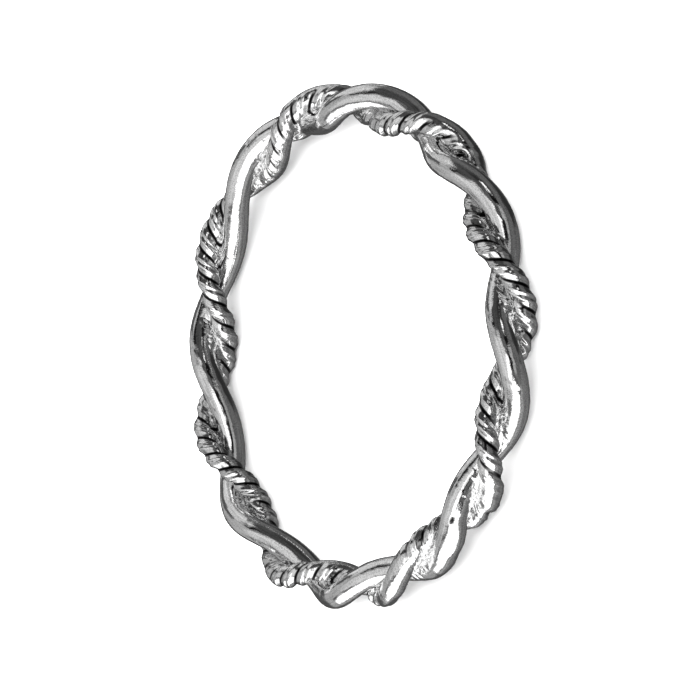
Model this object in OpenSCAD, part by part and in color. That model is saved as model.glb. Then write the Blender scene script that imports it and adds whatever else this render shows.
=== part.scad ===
// Woven ring: a plain round wire and a twisted rope wire, wound round each other eight times and closed
// into a finger ring. The ring lies flat: its axis is Z, its centre is the origin, and angles round it
// count anticlockwise from +X, seen from +Z. Lengths are in millimetres and angles in degrees.

/* [Ring] */
// Inside diameter, between the innermost points of the rope
inner_d = 17.3; // [14:0.1:23]

/* [Plain wire] */
// Diameter of the smooth round wire
plain_d = 1.08; // [0.7:0.02:1.6]

/* [Rope wire] */
// Diameter of the rope over its crests
rope_d = 1.0; // [0.7:0.02:1.6]
// Share of the rope's diameter that each of its two fine wires takes, over a half being pressed together
fine_share = 0.67; // [0.6:0.01:0.8]
// Half the width of the solder hollow in each groove, as degrees round the rope
valley = 22; // [12:1:30]
// Full turns of the rope's two fine wires round the ring
rope_turns = 36; // [28:1:44]
// Where the first groove faces up, round the ring from +X
rope_start = 0.8; // [0:0.1:5]

/* [Winding] */
// Distance of the rope's middle from the middle of the pair
rope_swing = 0.60; // [0.5:0.01:0.9]
// Clearance between the two wires
strand_gap = 0.02; // [0.01:0.005:0.1]

/* [Joint] */
// Middle of the stretch where solder fills the rope's grooves
joint_at = 290; // [0:1:359]
// Half the length of that stretch
joint_half = 8; // [4:1:12]
// How far the cramped lay next to the joint is pushed together, in degrees of twist
cramp_twist = 60; // [0:5:90]

/* [Hidden] */

// Hand winding is uneven. Each row is one turn of the pair: the angle at which the rope rides on top,
// and the angle at which the plain wire does.
ROPE_TOP = 0;
PLAIN_TOP = 1;
winding = [
    [ 24,    46],
    [ 66.5,  90],
    [111,   134],
    [160.5, 184],
    [207,   229],
    [252,   272.5],
    [294,   317.5],
    [339.5, 362.5],
];

// The pair is also a little out of round, and the rope's own twist uneven. Each row is a sixteenth of
// the ring, the first one at +X: how far the pair sits outwards there, how far up, and how many degrees
// the rope's twist is ahead.
OUT = 0;
LIFT = 1;
TWIST = 2;
bends = [
    [-0.01,  0.03,   0],
    [-0.07, -0.04,  30],
    [-0.10, -0.07,  35],
    [-0.06,  0.07,  25],
    [ 0.03,  0.16, -25],
    [ 0.12,  0.12, -45],
    [ 0.06,  0.12, -15],
    [ 0.01,  0.01, -15],
    [-0.06, -0.11, -50],
    [ 0.07, -0.05, -75],
    [ 0.14,  0.01, -45],
    [ 0.17,  0.02,  35],
    [ 0.01,  0.05,  65],
    [-0.07,  0.13,  80],
    [-0.12,  0.17,  75],
    [-0.10,  0.12,  62],
];

// Where a wire is filled with solder, worn away or swollen. Each row is a stretch: its middle and half
// length in degrees, the side of the wire that it covers (0 is outwards, 90 up) and half the spread
// there, how much of the way the surface goes to its new place, and how far below the round wire that
// is, or above it where negative. The first row is the joint, where the rope is filled all round.
FILL_AT = 0;
FILL_HALF = 1;
FILL_SIDE = 2;
FILL_SPREAD = 3;
FILL_SHARE = 4;
FILL_FILED = 5;
rope_fills = [
    [joint_at, joint_half, 0, 200, 1, 0.01],
    [282,   5, -40, 60, 1.00,  0.10],
    [ 23,   3, 200, 50, 0.80,  0],
    [ 37,   4, 200, 60, 0.90,  0],
    [ 53,   8, -20, 80, 0.85,  0],
    [ 80,   5, 200, 60, 1.00,  0.06],
    [ 89,   3, 190, 45, 1.00, -0.16],
    [102,   6,   0, 70, 1.00,  0.06],
    [127,  13, 210, 50, 1.00,  0],
    [241,   5, -10, 70, 0.85,  0],
    [265,   8, 180, 60, 1.00,  0.08],
    [316,   2,   0, 45, 1.00, -0.10],
    [324,   8,  70, 60, 0.70,  0],
    [325.5, 2,   0, 80, 0.80,  0],
    [351,   5, 190, 60, 0.90,  0],
];
plain_fills = [
    [ 67,   3, 190, 45, 1.00, -0.18],
    [115,   3, 205, 45, 1.00, -0.15],
    [312,   3, 330, 45, 1.00, -0.08],
];

turns = len(winding);
sixteenths = len(bends);
plain_swing = (plain_d + rope_d) / 2 + strand_gap - rope_swing;
pair_r = inner_d / 2 + rope_swing + rope_d / 2;
cramp_at = joint_at - 13;
cramp_half = 8;

// Steps along the wires and points round their sections
plain_rings = 160;
plain_sides = 16;
rope_rings = 360;
rope_sides = 12;

// The rope's two fine wires: each is a round wire on a helix of radius helix_r, which climbs helix_rise
// for each radian of twist
crest_r = rope_d / 2;
fine_r = crest_r * fine_share;
helix_r = crest_r - fine_r;
helix_rise = norm([pair_r, turns * rope_swing]) / rope_turns;
helix_step = norm([helix_r, helix_rise]);

// Radius of the rope where it is filled, a little below its crests
filled_r = crest_r * 0.985;

// Smooth curve between two values, with a slope at each end; t runs from 0 to 1
function cubic(a, b, slope_a, slope_b, t) =
    a * (1 + 2 * t) * (1 - t) * (1 - t) + b * t * t * (3 - 2 * t)
    + slope_a * t * (1 - t) * (1 - t) - slope_b * t * t * (1 - t);

// 0 below 0, 1 above 1, and a smooth rise between
function smooth_step(x) = let (t = max(0, min(1, x))) t * t * (3 - 2 * t);

// Degrees between two directions, the short way
function apart(a, b) = abs(a - b - 360 * round((a - b) / 360));

// The moment i at which one wire rides on top: even for the rope, odd for the plain wire
function top_at(i) =
    let (row = floor(i / 2), lap = floor(row / turns))
    winding[row - lap * turns][i % 2 == 0 ? ROPE_TOP : PLAIN_TOP] + 360 * lap;

// How far the winding runs ahead of an even one at that moment
function lead(i) = 90 + 180 * i - turns * top_at(i);
function lead_slope(i) = (lead(i + 1) - lead(i - 1)) / (top_at(i + 1) - top_at(i - 1));

// The last such moment at or before angle a
function moment(a) = let (hits = [for (i = [0 : 2 * turns]) if (top_at(i) <= a) i]) hits[len(hits) - 1];

// Direction from the pair's middle to the rope: 0 is outwards and 90 is up
function winding_angle(angle) =
    let (
        a = angle < top_at(0) ? angle + 360 : angle,
        i = moment(a),
        span = top_at(i + 1) - top_at(i),
        t = (a - top_at(i)) / span
    )
    turns * a + cubic(lead(i), lead(i + 1), lead_slope(i) * span, lead_slope(i + 1) * span, t);

// A column of the bends table at any angle
function bend_row(i, column) = bends[(i + sixteenths) % sixteenths][column];
function bend(angle, column) =
    let (
        x = angle * sixteenths / 360,
        i = floor(x),
        before = bend_row(i - 1, column),
        a = bend_row(i, column),
        b = bend_row(i + 1, column),
        after = bend_row(i + 2, column)
    )
    cubic(a, b, (b - before) / 2, (after - a) / 2, x - i);

// Middle of a wire that swings this far from the pair's middle, on the rope's side or the other one
function strand_point(angle, swing, side) =
    let (
        w = winding_angle(angle),
        r = pair_r + bend(angle, OUT) + side * swing * cos(w),
        z = bend(angle, LIFT) + side * swing * sin(w)
    )
    [r * cos(angle), r * sin(angle), z];

function unit(v) = v / norm(v);

// A wire's radius in direction turn, once the rows of its table are laid on it one after another
function fill_share(row, angle, turn) =
    row[FILL_SHARE]
    * smooth_step((row[FILL_HALF] - apart(angle, row[FILL_AT])) / 4 + 0.5)
    * smooth_step((row[FILL_SPREAD] - apart(turn, row[FILL_SIDE])) / 40 + 0.5);
function filled(rows, round_r, angle, turn, radius, i = 0) =
    i == len(rows) ? radius
    : let (new_r = round_r - rows[i][FILL_FILED])
      filled(rows, round_r, angle, turn, radius + fill_share(rows[i], angle, turn) * (new_r - radius), i + 1);

// A fine wire's skin where a cut square to the rope meets it: [degrees round from the crest, radius].
// a is the direction round the fine wire, which slants, so the cut reaches the skin further round.
function skin(a) =
    let (p = [helix_r + fine_r * cos(a), fine_r * sin(a) * helix_rise / helix_step])
    [atan2(p[1], p[0]) + fine_r * sin(a) * helix_r / (helix_rise * helix_step) * 180 / PI, norm(p)];
skins = [for (a = [0 : 90]) skin(a)];

// Outline of the rope at an angle from a crest: the skin, and in each groove a hollow of solder, a
// parabola that leaves the skin without a crease
edge = 90 - valley;
edge_r = lookup(edge, skins);
edge_slope = lookup(edge + 0.5, skins) - lookup(edge - 0.5, skins);
function twisted_r(from_crest) =
    let (
        folded = abs(from_crest - 180 * round(from_crest / 180)),
        past = folded - edge
    )
    past > 0 ? edge_r + edge_slope * (past - past * past / (2 * valley)) : lookup(folded, skins);

// Direction of the first fine wire's crest: an even lay, the uneven twist, and the cramped stretch,
// where the twist is pushed back before its middle and on after it
function rope_lay(angle) =
    let (near = max(-1, min(1, (angle - cramp_at) / cramp_half)))
    rope_turns * (angle - rope_start) + bend(angle, TWIST) + cramp_twist * sin(180 * near);

// Sections at an angle round the ring, as lists of [across, up] points
function plain_section(angle) = [
    for (j = [0 : plain_sides - 1])
        let (turn = 360 * j / plain_sides)
        filled(plain_fills, plain_d / 2, angle, turn, plain_d / 2) * [cos(turn), sin(turn)]
];
function rope_section(angle) =
    let (lay = rope_lay(angle))
    [
        for (j = [0 : rope_sides - 1])
            let (
                from_crest = 360 * j / rope_sides,
                turn = from_crest + lay
            )
            filled(rope_fills, filled_r, angle, turn, twisted_r(from_crest)) * [cos(turn), sin(turn)]
    ];

// Sections stood square to the path, as one list of points
function swept_points(path, sections) =
    let (n = len(path))
    [
        for (i = [0 : n - 1])
            let (
                along = unit(path[(i + 1) % n] - path[(i + n - 1) % n]),
                across = unit(cross(along, [0, 0, 1])),
                up = cross(across, along)
            )
            for (q = sections[i]) path[i] + q[0] * across + q[1] * up
    ];

// Triangles of a closed sweep, split along the shorter diagonal of each quad, which the lay leans over
function swept_faces(rings, sides) = [
    for (i = [0 : rings - 1]) for (j = [0 : sides - 1])
        let (
            a = i * sides + j,
            b = i * sides + (j + 1) % sides,
            c = (i + 1) % rings * sides + (j + 1) % sides,
            d = (i + 1) % rings * sides + j
        )
        for (f = [[a, b, d], [b, c, d]]) f
];

module plain_wire() {
    angles = [for (i = [0 : plain_rings - 1]) 360 * i / plain_rings];
    path = [for (a = angles) strand_point(a, plain_swing, -1)];
    color("gainsboro")
        polyhedron(
            swept_points(path, [for (a = angles) plain_section(a)]),
            swept_faces(plain_rings, plain_sides)
        );
}

module rope_wire() {
    angles = [for (i = [0 : rope_rings - 1]) 360 * i / rope_rings];
    path = [for (a = angles) strand_point(a, rope_swing, 1)];
    color("silver")
        polyhedron(
            swept_points(path, [for (a = angles) rope_section(a)]),
            swept_faces(rope_rings, rope_sides)
        );
}

plain_wire();
rope_wire();
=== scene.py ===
"""Woven ring: a plain silver wire and a rope of two fine silver wires, wound round each other.

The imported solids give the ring's place and size. Here both wires are worked out again from the same
sizes, finely enough for polished metal, with soldered fillets where they touch.
"""
import math

import bpy
import numpy as np
from mathutils import Matrix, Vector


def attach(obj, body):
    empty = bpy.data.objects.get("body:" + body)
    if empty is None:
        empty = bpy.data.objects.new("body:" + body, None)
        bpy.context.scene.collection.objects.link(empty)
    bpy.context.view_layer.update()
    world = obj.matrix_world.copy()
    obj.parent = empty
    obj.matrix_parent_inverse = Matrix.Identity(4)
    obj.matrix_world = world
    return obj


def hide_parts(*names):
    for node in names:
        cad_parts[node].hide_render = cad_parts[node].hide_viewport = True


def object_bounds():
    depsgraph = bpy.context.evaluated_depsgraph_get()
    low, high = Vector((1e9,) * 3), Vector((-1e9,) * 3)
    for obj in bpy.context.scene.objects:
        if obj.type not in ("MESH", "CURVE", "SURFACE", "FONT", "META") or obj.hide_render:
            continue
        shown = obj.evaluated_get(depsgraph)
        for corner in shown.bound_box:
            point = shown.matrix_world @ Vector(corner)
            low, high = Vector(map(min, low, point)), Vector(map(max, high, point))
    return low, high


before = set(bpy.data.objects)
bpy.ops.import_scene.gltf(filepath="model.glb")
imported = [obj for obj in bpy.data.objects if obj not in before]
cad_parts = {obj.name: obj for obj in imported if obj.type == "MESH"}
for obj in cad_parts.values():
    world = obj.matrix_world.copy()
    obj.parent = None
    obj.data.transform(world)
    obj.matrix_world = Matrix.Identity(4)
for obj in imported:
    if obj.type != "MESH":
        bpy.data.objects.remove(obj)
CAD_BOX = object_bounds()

MM = 0.001

# The rope: the share of its diameter that each fine wire takes, half the width of the solder in its
# grooves in degrees round it, its turns round the ring, and where its first groove faces up, in degrees
FINE_SHARE = 0.67
VALLEY = 22
ROPE_TURNS = 36
ROPE_START = 0.8

# The ring, in millimetres: its hole, the plain wire, the rope over its crests, how far the rope's middle
# lies from the middle of the pair, and the gap between the round wires
INNER_D = 17.3
PLAIN_D = 1.08
ROPE_D = 1.0
ROPE_SWING = 0.60
STRAND_GAP = 0.02
PLAIN_R = PLAIN_D / 2
CREST_R = ROPE_D / 2
PLAIN_SWING = PLAIN_R + CREST_R + STRAND_GAP - ROPE_SWING
PAIR_R = INNER_D / 2 + ROPE_SWING + CREST_R

# Radius of the rope where it is filled, and of the round wire that stands for it under a fillet
FILLED_R = CREST_R * 0.985
ROPE_OUTLINE_R = CREST_R * 0.95

# One row for each turn of the pair: the angles at which the rope and the plain wire ride on top
WINDING = np.array([
    [24, 46],
    [66.5, 90],
    [111, 134],
    [160.5, 184],
    [207, 229],
    [252, 272.5],
    [294, 317.5],
    [339.5, 362.5],
])
TURNS = len(WINDING)

# One row for each sixteenth of the ring, from +X: how far the pair sits outwards and up, and how many
# degrees the rope's own twist is ahead
OUT, LIFT, TWIST = 0, 1, 2
BENDS = np.array([
    [-0.01, 0.03, 0],
    [-0.07, -0.04, 30],
    [-0.10, -0.07, 35],
    [-0.06, 0.07, 25],
    [0.03, 0.16, -25],
    [0.12, 0.12, -45],
    [0.06, 0.12, -15],
    [0.01, 0.01, -15],
    [-0.06, -0.11, -50],
    [0.07, -0.05, -75],
    [0.14, 0.01, -45],
    [0.17, 0.02, 35],
    [0.01, 0.05, 65],
    [-0.07, 0.13, 80],
    [-0.12, 0.17, 75],
    [-0.10, 0.12, 62],
])

# The rope's fine wires: radius of each, and the helix it follows, which climbs HELIX_RISE a radian
FINE_R = CREST_R * FINE_SHARE
HELIX_R = CREST_R - FINE_R
HELIX_RISE = math.hypot(PAIR_R, TURNS * ROPE_SWING) / ROPE_TURNS

# The rope's lay is cramped next to the joint: middle and half length of that stretch, and how far the
# twist is pushed back before the middle and on after it, in degrees
CRAMP_AT, CRAMP_HALF, CRAMP_TWIST = 277, 8, 60

# Where a wire is filled with solder, worn away or swollen. Each row is a stretch: its middle and half
# length in degrees, the side of the wire that it covers (0 is outwards, 90 up) and half the spread
# there, how much of the way the surface goes to its new place, and how far below the round wire that
# is, or above it where negative. The first row is the joint, where the rope is filled all round.
# Each stretch fades over FADE_ALONG degrees of the ring and FADE_ROUND degrees of the wire.
FADE_ALONG, FADE_ROUND = 4, 40
FILL_AT, FILL_HALF, FILL_SIDE, FILL_SPREAD, FILL_SHARE, FILL_FILED = range(6)
ROPE_FILLS = np.array([
    [290, 8, 0, 200, 1.0, 0.01],
    [282, 5, -40, 60, 1.0, 0.10],
    [23, 3, 200, 50, 0.8, 0],
    [37, 4, 200, 60, 0.9, 0],
    [53, 8, -20, 80, 0.85, 0],
    [80, 5, 200, 60, 1.0, 0.06],
    [89, 3, 190, 45, 1.0, -0.16],
    [102, 6, 0, 70, 1.0, 0.06],
    [127, 13, 210, 50, 1.0, 0],
    [241, 5, -10, 70, 0.85, 0],
    [265, 8, 180, 60, 1.0, 0.08],
    [316, 2, 0, 45, 1.0, -0.10],
    [324, 8, 70, 60, 0.7, 0],
    [325.5, 2, 0, 80, 0.8, 0],
    [351, 5, 190, 60, 0.9, 0],
])
PLAIN_FILLS = np.array([
    [67, 3, 190, 45, 1.0, -0.18],
    [115, 3, 205, 45, 1.0, -0.15],
    [312, 3, 330, 45, 1.0, -0.08],
])

# Solder between the wires. Each row is a patch: its middle and half length in degrees, the radius of
# the fillet there, and the height of its lumps
PATCH_AT, PATCH_HALF, PATCH_FILLET, PATCH_LUMPS = range(4)
PATCHES = np.array([
    [11, 6, 0.22, 0.022],
    [24, 3, 0.25, 0.010],
    [37, 5, 0.10, 0.016],
    [66, 4, 0.50, 0.010],
    [80, 6, 0.10, 0.016],
    [89, 4, 0.50, 0.010],
    [115, 4, 0.50, 0.010],
    [131, 6, 0.16, 0.024],
    [175, 7, 0.28, 0.026],
    [226, 6, 0.14, 0.022],
    [241, 4, 0.12, 0.022],
    [251, 3, 0.28, 0.014],
    [299, 7, 0.22, 0.030],
    [314, 4, 0.50, 0.014],
    [324, 7, 0.16, 0.022],
    [341, 6, 0.14, 0.022],
])
PLAIN_FILLET = 0.05

# How the solder is laid: it reaches this many radians round each wire from where the other lies and
# fades over SOLDER_FADE, fillets thinner than THIN_FILLET carry none of its lumps, and the lumps are
# LUMP_SPACING apart
SOLDER_REACH_PLAIN, SOLDER_REACH_ROPE, SOLDER_FADE = 1.5, 1.6, 0.7
THIN_FILLET = 0.08
LUMP_SPACING = 0.8

# A casting pit in the plain wire: where it is round the ring and round the wire, in degrees, and half its
# length, half its width and its depth
PIT_AT, PIT_SIDE, PIT_LENGTH, PIT_WIDTH, PIT_DEPTH = 316.6, 48, 0.10, 0.07, 0.12

# Fine relief: lengthwise flutes, so that each of the rope's fine wires has a valley along its crest, and
# low waves in the plain wire
FLUTES, FLUTE_DEPTH = 6, 0.034
WAVE_HEIGHT, WAVE_LENGTH = 0.006, 0.8
LOW_WAVE_HEIGHT, LOW_WAVE_LENGTH = PLAIN_R * 0.012, 2.6

# Small dents in the rope, and how much of the way solder beside them brings its grooves to the crests
DENT_HEIGHT, DENT_DEPTH, DENT_SPACING = 0.006, 0.010, 0.45
SOLDER_SHARE = 0.35

# Degrees round from a fine wire's crest at which painted shade darkens the grooves, the degrees over
# which it deepens, and how many times longer than wide the marks drawn along the wires are
PAINTED_SHADE_FROM, PAINTED_SHADE_FADE = 68, 12
DRAWN_OUT = 14

# Points along the wires and round them. The plain wire's are pulled towards the pit, along the wire over
# PULL_HALF degrees each way and all round it, and the rope's towards its grooves.
PLAIN_ALONG, PLAIN_ROUND = 1440, 60
ROPE_ALONG, ROPE_ROUND = 1400, 70
PULL_HALF, PULL_ALONG, PULL_ROUND = 3, 0.7, 0.4
GROOVE_PULL = 0.1


def cubic(a, b, slope_a, slope_b, t):
    """Smooth curve from a to b as t runs from 0 to 1, leaving and arriving with the given slopes."""
    return (
        a * (1 + 2 * t) * (1 - t) ** 2 + b * t * t * (3 - 2 * t)
        + slope_a * t * (1 - t) ** 2 - slope_b * t * t * (1 - t)
    )


def smooth_step(t):
    """0 below 0, 1 above 1, and a smooth rise between."""
    t = np.clip(t, 0, 1)
    return t * t * (3 - 2 * t)


def apart(angle, middle):
    """Degrees between two angles round the ring, the short way."""
    return np.abs((angle - middle + 180) % 360 - 180)


def winding_angle(angle):
    """Direction from the pair's middle to the rope, in degrees: 0 is outwards and 90 is up.

    An even winding gains TURNS degrees for each degree round the ring. The lead is what the real one
    is ahead of that, known at each moment of the winding table and joined by cubics."""
    tops = WINDING.ravel()
    tops = np.concatenate([tops - 360, tops, tops + 360])
    half_turns = np.arange(-2 * TURNS, 4 * TURNS)
    lead = 90 + 180 * half_turns - TURNS * tops
    slope = np.zeros(len(lead))
    slope[1:-1] = (lead[2:] - lead[:-2]) / (tops[2:] - tops[:-2])
    a = np.where(angle < WINDING[0, 0], angle + 360, angle)
    i = np.searchsorted(tops, a, side="right") - 1
    span = tops[i + 1] - tops[i]
    t = (a - tops[i]) / span
    return TURNS * a + cubic(lead[i], lead[i + 1], slope[i] * span, slope[i + 1] * span, t)


def bend(angle, column):
    """A column of the bends table at any angle, joined by cubics."""
    n = len(BENDS)
    x = angle * n / 360
    i = np.floor(x).astype(int)
    before, a, b, after = (BENDS[(i + k) % n, column] for k in (-1, 0, 1, 2))
    return cubic(a, b, (b - before) / 2, (after - a) / 2, x - i)


def strand_path(angle, swing, side):
    """Middle of a wire at each angle: the pair's circle, moved by the bends, plus the swing in the
    winding direction. side is 1 for the rope and -1 for the plain wire."""
    w = np.radians(winding_angle(angle))
    a = np.radians(angle)
    r = PAIR_R + bend(angle, OUT) + side * swing * np.cos(w)
    z = bend(angle, LIFT) + side * swing * np.sin(w)
    return np.stack([r * np.cos(a), r * np.sin(a), z], 1)


def unit(v):
    return v / np.linalg.norm(v, axis=-1, keepdims=True)


def path_frame(path):
    """Two unit vectors square to a closed path at each point: one in the ring's plane, pointing
    outwards, and one that makes a right angle with it and with the path."""
    along = unit(np.roll(path, -1, 0) - np.roll(path, 1, 0))
    across = unit(np.cross(along, [0, 0, 1]))
    return across, np.cross(across, along)


def rope_lay(angle):
    """Direction of the first fine wire's crest, in degrees: an even lay, plus the bends table's twist,
    plus one wave of a sine over the cramped stretch."""
    near = np.clip((angle - CRAMP_AT) / CRAMP_HALF, -1, 1)
    return ROPE_TURNS * (angle - ROPE_START) + bend(angle, TWIST) + CRAMP_TWIST * np.sin(math.pi * near)


def filled(rows, round_r, angle, turn, radius):
    """A wire's radius once the rows of its table are laid on it one after another, and the share of its
    own relief that is gone. turn is each point's direction from the wire's middle, in radians."""
    gone = np.zeros(turn.shape)
    for row in rows:
        along = smooth_step((row[FILL_HALF] - apart(angle, row[FILL_AT])) / FADE_ALONG + 0.5)[:, None]
        off_side = apart(np.degrees(turn), row[FILL_SIDE])
        around = smooth_step((row[FILL_SPREAD] - off_side) / FADE_ROUND + 0.5)
        share = row[FILL_SHARE] * along * around
        radius = radius + share * (round_r - row[FILL_FILED] - radius)
        gone = np.maximum(gone, share)
    return radius, gone


def towards_other(path, other, across, up):
    """Direction round the wire, in radians, in which the other wire lies, and how far off it is."""
    gap = other - path
    x = (gap * across).sum(1)
    y = (gap * up).sum(1)
    return np.arctan2(y, x), np.hypot(x, y)


def patch_sum(angle, column):
    """The solder table's column at each angle, faded out over each patch's own length."""
    total = np.zeros(len(angle))
    for row in PATCHES:
        share = smooth_step(1.5 - apart(angle, row[PATCH_AT]) / row[PATCH_HALF])
        total = np.maximum(total, row[column] * share)
    return total


def fillet_radius(away, own_r, other_r, distance, fillet):
    """Radius of a wire's surface where solder joins it to the other wire.

    away is the angle from the direction of the other wire. The solder is a circle of the fillet's
    radius that touches both round wires from outside, and nearer the other wire a flat at the waist."""
    reach = own_r + fillet
    other_reach = other_r + fillet
    cos_edge = (reach**2 + distance**2 - other_reach**2) / (2 * reach * distance)
    edge = np.arccos(np.clip(cos_edge, -1, 1))
    waist_x = reach * np.cos(edge)
    waist_y = np.maximum(reach * np.sin(edge) - fillet, 0)
    waist = np.arctan2(waist_y, waist_x)
    inside = fillet**2 - (reach * np.sin(edge - away)) ** 2
    arc = reach * np.cos(edge - away) - np.sqrt(np.maximum(inside, 0))
    r = np.where(away < waist, waist_x / np.cos(away), arc)
    return np.where(away < edge, r, 0.0)


def turned_away(turn, to_other):
    """Radians between each point's direction from its wire's middle and that of the other wire."""
    return np.abs((turn - to_other[:, None] + math.pi) % (2 * math.pi) - math.pi)


def solder_on(angle, away, distance, own_r, other_r, reach):
    """Radius of the fillet towards the other wire at each point, and the share of solder there: 1 next
    to the other wire, faded out round the wire and where the fillet is thin."""
    fillet = np.maximum(patch_sum(angle, PATCH_FILLET), PLAIN_FILLET)[:, None]
    joined = fillet_radius(away, own_r, other_r, distance[:, None], fillet)
    share = smooth_step((reach - away) / SOLDER_FADE) * smooth_step(fillet / THIN_FILLET - 0.8)
    return joined, share


def lumps(x, y, z, scale, seed):
    """Soft lumps from -1 to 1: three waves a scale apart, each bent by the next."""
    a = np.sin(2 * math.pi * (x + 0.7 * y) / scale + seed)
    b = np.sin(2 * math.pi * (y - 0.6 * z) / (scale * 0.83) + 2.1 * seed + 1.7 * a)
    c = np.sin(2 * math.pi * (z + 0.5 * x) / (scale * 1.21) + 3.7 * seed + 1.3 * b)
    return (a + b + c) / 3


def creased(x, y, z, scale, seed):
    """Rounded lumps that meet in sharp creases, from -1 to 1: the soft lumps folded at zero."""
    return 2.2 * np.sqrt(np.abs(lumps(x, y, z, scale, seed)) + 0.002) - 1.1


def solder_lumps(angle, solder, x, y, z):
    """Height of the solder's lumps: each patch's own, where there is solder, with creases between."""
    return patch_sum(angle, PATCH_LUMPS)[:, None] * solder * creased(x, y, z, LUMP_SPACING, 2.9)


def swept_surface(path, across, up, radius, turn):
    """Points at the given radius and direction from each point of the path, square to it."""
    x = (radius * np.cos(turn))[..., None] * across[:, None]
    y = (radius * np.sin(turn))[..., None] * up[:, None]
    return path[:, None] + x + y


def round_place(path, across, up, radius, turn):
    """x, y and z of each point if the wire were round, for the patterns that run through it."""
    return np.moveaxis(swept_surface(path, across, up, np.full(turn.shape, radius), turn), -1, 0)


def tube_mesh(name, points, solder, painted_shade, drawn):
    """A closed tube from a grid of points in millimetres, with the share of solder and of painted shade
    at each point, and its place in a pattern drawn out along the wire."""
    rings, sides = points.shape[:2]
    i, j = np.meshgrid(np.arange(rings), np.arange(sides), indexing="ij")
    next_i, next_j = (i + 1) % rings, (j + 1) % sides
    corners = [i * sides + j, next_i * sides + j, next_i * sides + next_j, i * sides + next_j]
    quads = np.stack(corners, 2).reshape(-1, 4)
    mesh = bpy.data.meshes.new(name)
    mesh.vertices.add(rings * sides)
    mesh.vertices.foreach_set("co", (points.reshape(-1) * MM).astype(np.float32))
    mesh.loops.add(quads.size)
    mesh.loops.foreach_set("vertex_index", quads.ravel().astype(np.int32))
    mesh.polygons.add(len(quads))
    mesh.polygons.foreach_set("loop_start", np.arange(0, quads.size, 4, dtype=np.int32))
    mesh.polygons.foreach_set("use_smooth", np.ones(len(quads), bool))
    mesh.update(calc_edges=True)
    mesh.validate()
    for attribute, values in (("solder", solder), ("painted_shade", painted_shade)):
        layer = mesh.attributes.new(attribute, "FLOAT", "POINT")
        layer.data.foreach_set("value", values.reshape(-1).astype(np.float32))
    layer = mesh.attributes.new("drawn", "FLOAT_VECTOR", "POINT")
    layer.data.foreach_set("vector", drawn.reshape(-1).astype(np.float32))
    piece = bpy.data.objects.new(name, mesh)
    bpy.context.scene.collection.objects.link(piece)
    return piece


def drawn_place(path, radius, turn):
    """Place of each point on a wire pulled straight, in millimetres, with its length shrunk, so that a
    pattern on it is drawn out along the wire. It mirrors back halfway, so that its ends meet."""
    step = np.linalg.norm(np.roll(path, -1, 0) - path, axis=1)
    run = np.cumsum(step) - step
    there_and_back = np.minimum(run, step.sum() - run) / DRAWN_OUT
    length = np.broadcast_to(there_and_back[:, None], turn.shape)
    return np.stack([radius * np.cos(turn), radius * np.sin(turn), length], 2)


def plain_wire_surface():
    """The plain wire: a circle carried along its path, barely out of round, with solder fillets and
    lumps towards the rope, and one pit, towards which the points draw closer. The pit's share also
    goes out as painted shade, which blackens the silver's colour in the pit."""
    angle = np.arange(PLAIN_ALONG) * 360 / PLAIN_ALONG
    near_pit = np.clip((angle - PIT_AT) / PULL_HALF, -1, 1)
    angle = angle - PULL_ALONG * np.sin(math.pi * near_pit) * (1 - np.abs(near_pit))
    path = strand_path(angle, PLAIN_SWING, -1)
    rope = strand_path(angle, ROPE_SWING, 1)
    across, up = path_frame(path)
    from_pit = np.arange(PLAIN_ROUND) * 2 * math.pi / PLAIN_ROUND
    turn = math.radians(PIT_SIDE) + from_pit - PULL_ROUND * np.sin(from_pit)
    turn = np.broadcast_to(turn, (PLAIN_ALONG, PLAIN_ROUND))
    to_rope, distance = towards_other(path, rope, across, up)
    away = turned_away(turn, to_rope)
    joined, solder = solder_on(angle, away, distance, PLAIN_R, ROPE_OUTLINE_R, SOLDER_REACH_PLAIN)
    x, y, z = round_place(path, across, up, PLAIN_R, turn)
    low = LOW_WAVE_HEIGHT * (lumps(x, y, z * 2, LOW_WAVE_LENGTH, 0.4) - 1)
    waves = WAVE_HEIGHT * (lumps(x, y, z, WAVE_LENGTH, 1.9) - 1)
    radius, _ = filled(PLAIN_FILLS, PLAIN_R, angle, turn, PLAIN_R + low + waves)
    radius = np.maximum(radius, joined) + solder_lumps(angle, solder, x, y, z)
    off_along = np.radians(angle - PIT_AT)[:, None] * PAIR_R / PIT_LENGTH
    off_round = np.radians(apart(np.degrees(turn), PIT_SIDE)) * PLAIN_R / PIT_WIDTH
    pit = np.exp(-((off_along**2 + off_round**2) ** 2))
    radius = radius - PIT_DEPTH * pit
    drawn = drawn_place(path, PLAIN_R, turn)
    # The pit's share is passed on as painted shade: the silver's colour is blackened in it, as the pit's
    # own shade would
    return swept_surface(path, across, up, radius, turn), solder, pit, drawn


def twisted_radius(from_crest):
    """Outline of the rope, cut square to its path, as a radius at each angle from a fine wire's crest.

    A point of a fine wire's skin lies fine_r * cos(a) outwards and fine_r * sin(a) sideways of the
    helix, at right angles to it. The helix slants, so the cut meets that point further round. Each
    groove ends in a hollow of solder, a parabola that leaves the skin without a crease."""
    a = np.linspace(0, math.pi / 2, 400)
    step = math.hypot(HELIX_R, HELIX_RISE)
    outwards = HELIX_R + FINE_R * np.cos(a)
    sideways = FINE_R * np.sin(a) * HELIX_RISE / step
    round_from_crest = np.arctan2(sideways, outwards) + FINE_R * np.sin(a) * HELIX_R / (HELIX_RISE * step)
    skin = np.hypot(outwards, sideways)
    edge = math.radians(90 - VALLEY)
    near_edge = np.interp([edge - 0.01, edge, edge + 0.01], round_from_crest, skin)
    slope = (near_edge[2] - near_edge[0]) / 0.02
    folded = np.abs((from_crest + math.pi / 2) % math.pi - math.pi / 2)
    past = folded - edge
    hollow = near_edge[1] + slope * (past - past**2 / 2 / math.radians(VALLEY))
    return np.where(past > 0, hollow, np.interp(folded, round_from_crest, skin))


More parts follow.
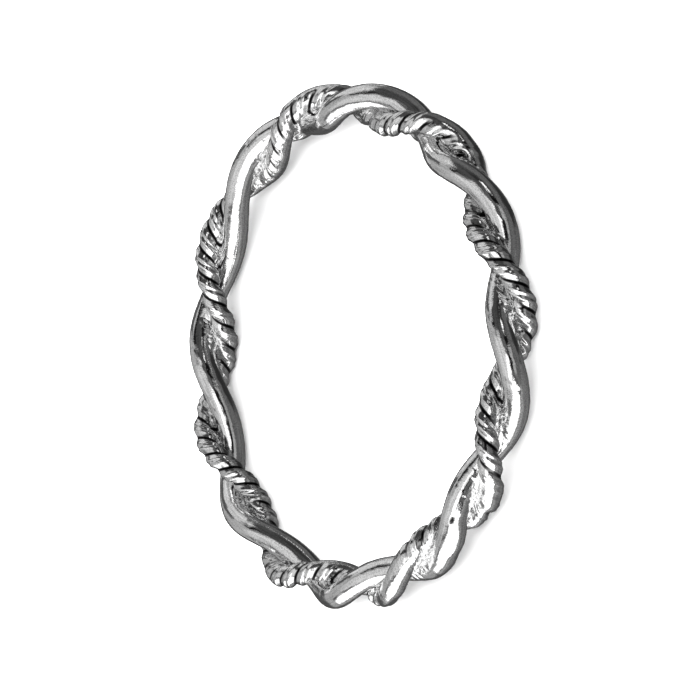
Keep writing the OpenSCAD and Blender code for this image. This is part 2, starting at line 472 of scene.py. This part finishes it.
def rope_wire_surface():
    """The rope: the outline of two fine wires twisted together, turned by the lay along the path.
    Points are closest in the grooves, which are filled or worn away here and there. Solder joins the
    rope to the plain wire. The open grooves carry painted shade, which darkens the silver's colour there."""
    angle = np.arange(ROPE_ALONG) * 360 / ROPE_ALONG
    path = strand_path(angle, ROPE_SWING, 1)
    plain = strand_path(angle, PLAIN_SWING, -1)
    across, up = path_frame(path)
    even = np.arange(ROPE_ROUND) * 2 * math.pi / ROPE_ROUND
    from_crest = even + GROOVE_PULL * np.sin(2 * even)
    turn = from_crest[None] + np.radians(rope_lay(angle))[:, None]
    x, y, z = round_place(path, across, up, CREST_R, turn)
    to_plain, distance = towards_other(path, plain, across, up)
    away = turned_away(turn, to_plain)
    joined, solder = solder_on(angle, away, distance, ROPE_OUTLINE_R, PLAIN_R, SOLDER_REACH_ROPE)
    flute = -FLUTE_DEPTH * (np.cos(FLUTES * from_crest) + 0.4) * np.cos(from_crest) ** 2
    flute = flute * (0.6 + 0.4 * lumps(x, y, z, 2.3, 0.7))
    twisted = twisted_radius(from_crest)[None] + flute * (1 - solder)
    radius, gone = filled(ROPE_FILLS, FILLED_R, angle, turn, twisted)
    radius = np.maximum(radius + SOLDER_SHARE * solder * (CREST_R - radius), joined)
    radius = radius + DENT_HEIGHT * lumps(x, y, z, DENT_SPACING, 2.9) - DENT_DEPTH
    radius = radius + solder_lumps(angle, solder, x, y, z)
    folded = np.abs((from_crest + math.pi / 2) % math.pi - math.pi / 2)
    # Painted shade: the silver's colour darkens in the open grooves, away from the crests, as the shade
    # in them would; not where they are filled or soldered
    painted_shade = smooth_step((np.degrees(folded) - PAINTED_SHADE_FROM) / PAINTED_SHADE_FADE) * (1 - gone) * (1 - solder)
    drawn = drawn_place(path, CREST_R, from_crest[None] + 0 * turn)
    return swept_surface(path, across, up, radius, turn), solder, painted_shade, drawn


def linear(hex_colour):
    """An sRGB hex colour as linear red, green and blue with alpha 1."""
    srgb = [int(hex_colour[k:k + 2], 16) / 255 for k in (1, 3, 5)]
    return (*[c / 12.92 if c <= 0.04045 else ((c + 0.055) / 1.055) ** 2.4 for c in srgb], 1.0)


def add_node(tree, kind, settings=None, links=None):
    """Adds a node, sets its properties and unlinked sockets, and links its inputs."""
    made = tree.nodes.new(kind)
    for key, value in (settings or {}).items():
        if isinstance(key, str) and hasattr(made, key) and key not in made.inputs:
            setattr(made, key, value)
        else:
            made.inputs[key].default_value = value
    for key, source in (links or {}).items():
        tree.links.new(source, made.inputs[key])
    return made


def new_material(name):
    material = bpy.data.materials.new(name)
    material.use_nodes = True
    material.node_tree.nodes.clear()
    return material, material.node_tree


def polished_silver():
    """Polished sterling silver: a bright, neutral mirror with fine polishing grain and faint lines drawn
    along the wire, duller where solder has run, and with painted shade darkening its colour in the rope's
    grooves and the pit."""
    material, tree = new_material("polished_sterling_silver")
    place = add_node(tree, "ShaderNodeTexCoord").outputs["Object"]
    solder = add_node(tree, "ShaderNodeAttribute", {"attribute_name": "solder"}).outputs["Fac"]
    # Share of painted shade: the rope's grooves and the pit are painted darker, as shade makes them
    painted_shade = add_node(tree, "ShaderNodeAttribute", {"attribute_name": "painted_shade"}).outputs["Fac"]
    drawn = add_node(tree, "ShaderNodeAttribute", {"attribute_name": "drawn"}).outputs["Vector"]
    haze = add_node(tree, "ShaderNodeTexNoise", {"Scale": 900, "Detail": 4}, {"Vector": place})
    dull = add_node(
        tree, "ShaderNodeMapRange", {"To Min": 0.02, "To Max": 0.06}, {"Value": haze.outputs["Fac"]}
    )
    rough = add_node(
        tree, "ShaderNodeMath", {"operation": "MULTIPLY_ADD", 1: 0.08}, {0: solder, 2: dull.outputs[0]}
    )
    # Grain of the last polish, 0.05 mm across, drawn coarser than it is so that it shows
    grain = add_node(tree, "ShaderNodeTexNoise", {"Scale": 20000, "Detail": 1}, {"Vector": place})
    # Lines left by the drawplate, about 0.1 mm wide
    lines = add_node(tree, "ShaderNodeTexNoise", {"Scale": 11, "Detail": 3}, {"Vector": drawn})
    ridges = add_node(
        tree, "ShaderNodeBump", {"Strength": 1.0, "Distance": 0.000005}, {"Height": lines.outputs["Fac"]}
    )
    bump = add_node(
        tree, "ShaderNodeBump", {"Strength": 1.0, "Distance": 0.0000025},
        {"Height": grain.outputs["Fac"], "Normal": ridges.outputs[0]},
    )
    marks = add_node(
        tree, "ShaderNodeMath", {"operation": "ADD"}, {0: grain.outputs["Fac"], 1: lines.outputs["Fac"]}
    )
    specks = add_node(
        tree, "ShaderNodeMapRange", {"From Min": 0.85, "From Max": 1.25, "To Max": 0.35},
        {"Value": marks.outputs[0]},
    )
    # The colour darkens with random specks and with the painted shade, up to near black
    dark = add_node(tree, "ShaderNodeMath", {"operation": "MAXIMUM"}, {0: specks.outputs[0], 1: painted_shade})
    colour = add_node(
        tree, "ShaderNodeMix", {"data_type": "RGBA", 6: linear("#F8F8F8"), 7: linear("#101010")},
        {0: dark.outputs[0]},
    )
    shader = add_node(
        tree, "ShaderNodeBsdfPrincipled", {"Metallic": 1.0},
        {"Base Color": colour.outputs[2], "Roughness": rough.outputs[0], "Normal": bump.outputs[0]},
    )
    add_node(tree, "ShaderNodeOutputMaterial", links={"Surface": shader.outputs[0]})
    return material


# Camera, as the photograph was taken: degrees from the ring's axis towards +X, distance in
# millimetres, picture pixels to the millimetre, and where the ring's middle falls in the picture
VIEW_TILT = 51.08
VIEW_ROLL = -0.14
VIEW_DISTANCE = 180
PIXELS_PER_MM = 24.656
PICTURE = 700
MIDDLE_X, MIDDLE_Y = 354.55, 346.0


def add_camera():
    """A camera that looks at the ring's middle, with the picture's right on the ring's +X side."""
    tilt, roll = math.radians(VIEW_TILT), math.radians(VIEW_ROLL)
    right = np.array([math.cos(tilt), 0, -math.sin(tilt)])
    up = np.array([0, 1.0, 0])
    back = np.array([math.sin(tilt), 0, math.cos(tilt)])
    x_axis = math.cos(roll) * right - math.sin(roll) * up
    y_axis = math.sin(roll) * right + math.cos(roll) * up
    data = bpy.data.cameras.new("camera")
    data.sensor_width = 36
    data.lens = 36 * PIXELS_PER_MM * VIEW_DISTANCE / PICTURE
    data.shift_x = (PICTURE / 2 - MIDDLE_X) / PICTURE
    data.shift_y = (MIDDLE_Y - PICTURE / 2) / PICTURE
    data.clip_start = 0.01
    camera = bpy.data.objects.new("camera", data)
    matrix = np.eye(4)
    matrix[:3, 0], matrix[:3, 1], matrix[:3, 2] = x_axis, y_axis, back
    matrix[:3, 3] = back * VIEW_DISTANCE * MM
    camera.matrix_world = Matrix(matrix.tolist())
    bpy.context.scene.collection.objects.link(camera)
    bpy.context.scene.camera = camera


def direction(azimuth, elevation):
    a, e = math.radians(azimuth), math.radians(elevation)
    return np.array([math.cos(a) * math.cos(e), math.sin(a) * math.cos(e), math.sin(e)])


def add_card(name, azimuth, elevation, distance, size, radiance):
    """A soft square light that faces the ring and lights the floor alone. radiance is how bright it
    looks, where 1 is white."""
    data = bpy.data.lights.new(name, "AREA")
    data.shape = "SQUARE"
    data.size = size
    data.energy = radiance * math.pi * size**2
    light = bpy.data.objects.new(name, data)
    back = direction(azimuth, elevation)
    side = unit(np.cross([0, 0, 1], back))
    matrix = np.eye(4)
    matrix[:3, 0], matrix[:3, 1], matrix[:3, 2] = side, np.cross(back, side), back
    matrix[:3, 3] = back * distance
    light.matrix_world = Matrix(matrix.tolist())
    light.visible_camera = False
    light.visible_glossy = False
    bpy.context.scene.collection.objects.link(light)


# The studio that the silver mirrors, one soft-edged panel a row, the last row in front: its middle
# (degrees from +X towards +Y, and above the floor), how far it is turned in its own plane, half its
# width and height, how soft its edge is, and how bright it looks, where 1 is white
PANELS = [
    [180, 0, 0, 58, 70, 14, 0.42],
    [180, -55, 0, 60, 26, 8, 0.11],
    [-70, -50, 0, 55, 28, 8, 0.18],
    [-80, -20, 5, 60, 14, 9, 0.36],
    [-160, 42, 0, 26, 14, 6, 0.46],
    [-125, 62, 0, 30, 20, 5, 0.62],
    [-60, 86, 0, 26, 22, 4, 0.70],
    [-144, 22, 0, 4, 10, 3, 0.12],
    [92, -54, 0, 44, 20, 6, 0.03],
    [82, 36, 0, 26, 28, 6, 0.065],
    [131, 22, 0, 19, 20, 3, 0.64],
    [151, 9, 0, 5, 6, 1.5, 0.80],
    [122, 28, 0, 4, 7, 1.5, 0.78],
    [128, -12, 0, 3, 14, 2, 0.75],
    [138, 4, 8, 9, 4, 2, 0.85],
    [127, 57, -8, 12, 5, 1.5, 0.005],
    [160, 20, 20, 6, 18, 1.5, 0.10],
    [62, 18, 0, 18, 16, 8, 0.035],
    [8, 18, 0, 20, 11, 4, 0.40],
    [33, 25, 0, 8, 14, 2, 0.005],
    [52, 22, 0, 12, 8, 1.5, 0.02],
    [52, 22, 0, 8, 5, 1.5, 1.4],
    [-118, 45, 10, 20, 4, 1.5, 0.15],
    [-80, 16, 10, 51, 30, 1.5, 0.02],
    [-84, 18, 10, 49, 28, 1.5, 1.7],
    [-35, 58, 0, 22, 12, 3, 1.5],
    [0, 37, 0, 11, 11, 2, 0.01],
    [180, -39, 0, 38, 38, 5, 0.09],
]
ROOM_LEVEL = 0.13

# The two lights on the floor: name, direction as above, distance, side, and how bright it looks
FLOOR_LIGHTS = [
    ["key", 15, 45, 0.50, 0.15, 21],
    ["dome", 90, 74, 0.50, 1.40, 4.0],
]


def add_world():
    """The room that the silver mirrors: dim grey all round, with the panels laid over it."""
    world = bpy.data.worlds.new("room")
    world.use_nodes = True
    tree = world.node_tree
    tree.nodes.clear()
    way = add_node(tree, "ShaderNodeTexCoord").outputs["Generated"]
    level = None
    for panel in PANELS:
        level = panel_over(tree, way, level, *panel)
    shade = add_node(tree, "ShaderNodeBackground", links={"Color": level})
    add_node(tree, "ShaderNodeOutputWorld", links={"Surface": shade.outputs[0]})
    bpy.context.scene.world = world
    world.cycles_visibility.diffuse = False


def panel_over(tree, way, under, azimuth, elevation, turn, half_width, half_height, soft, radiance):
    """Lays one panel over the light already there. How far a direction lies sideways and upwards of
    the panel's middle, in degrees, is compared with the panel's half sizes."""
    out = direction(azimuth, elevation)
    level_side = unit(np.cross([0, 0, 1], out))
    t = math.radians(turn)
    side = math.cos(t) * level_side + math.sin(t) * np.cross(out, level_side)
    up = np.cross(out, side)
    parts = [
        add_node(tree, "ShaderNodeVectorMath", {"operation": "DOT_PRODUCT", 1: tuple(axis)}, {0: way})
        for axis in (out, side, up)
    ]
    inside = []
    for part, half in ((parts[1], half_width), (parts[2], half_height)):
        links = {0: part.outputs["Value"], 1: parts[0].outputs["Value"]}
        off = add_node(tree, "ShaderNodeMath", {"operation": "ARCTAN2"}, links)
        off = add_node(tree, "ShaderNodeMath", {"operation": "ABSOLUTE"}, {0: off.outputs[0]})
        edge, fade = math.radians(half), math.radians(soft)
        inside.append(add_node(
            tree, "ShaderNodeMapRange",
            {"interpolation_type": "SMOOTHSTEP", "From Min": edge + fade, "From Max": edge - fade},
            {"Value": off.outputs[0]},
        ).outputs[0])
    share = add_node(tree, "ShaderNodeMath", {"operation": "MULTIPLY"}, {0: inside[0], 1: inside[1]})
    mixed = add_node(
        tree, "ShaderNodeMix", {"data_type": "FLOAT", 2: ROOM_LEVEL, 3: radiance},
        {0: share.outputs[0], **({2: under} if under else {})},
    )
    return mixed.outputs[0]


# Half the floor's side, in metres
FLOOR_HALF = 1.5


def add_floor():
    """A plain pale floor at the ring's lowest point."""
    low = CAD_BOX[0][2]
    half = FLOOR_HALF
    mesh = bpy.data.meshes.new("floor")
    mesh.from_pydata([(-half, -half, low), (half, -half, low), (half, half, low), (-half, half, low)],
                     [], [(0, 1, 2, 3)])
    floor = bpy.data.objects.new("floor", mesh)
    material, tree = new_material("matt_white_paper")
    shader = add_node(
        tree, "ShaderNodeBsdfPrincipled",
        {"Base Color": linear("#F4F4F4"), "Roughness": 0.9, "Specular IOR Level": 0.1},
    )
    add_node(tree, "ShaderNodeOutputMaterial", links={"Surface": shader.outputs[0]})
    mesh.materials.append(material)
    bpy.context.scene.collection.objects.link(floor)
    floor.visible_glossy = False


def add_wire(name, surface, node, material):
    piece = tube_mesh(name, *surface())
    piece.data.materials.append(material)
    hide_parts(node)
    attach(piece, "root")
    return piece


add_camera()
silver = polished_silver()
add_wire("plain_wire_polished", plain_wire_surface, "plain_wire", silver)
add_wire("rope_wire_polished", rope_wire_surface, "rope_wire", silver)
for node_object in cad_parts.values():
    node_object.data.materials.clear()
    node_object.data.materials.append(silver)
add_world()
add_floor()
for card in FLOOR_LIGHTS:
    add_card(*card)

bpy.context.scene.view_settings.view_transform = "Standard"
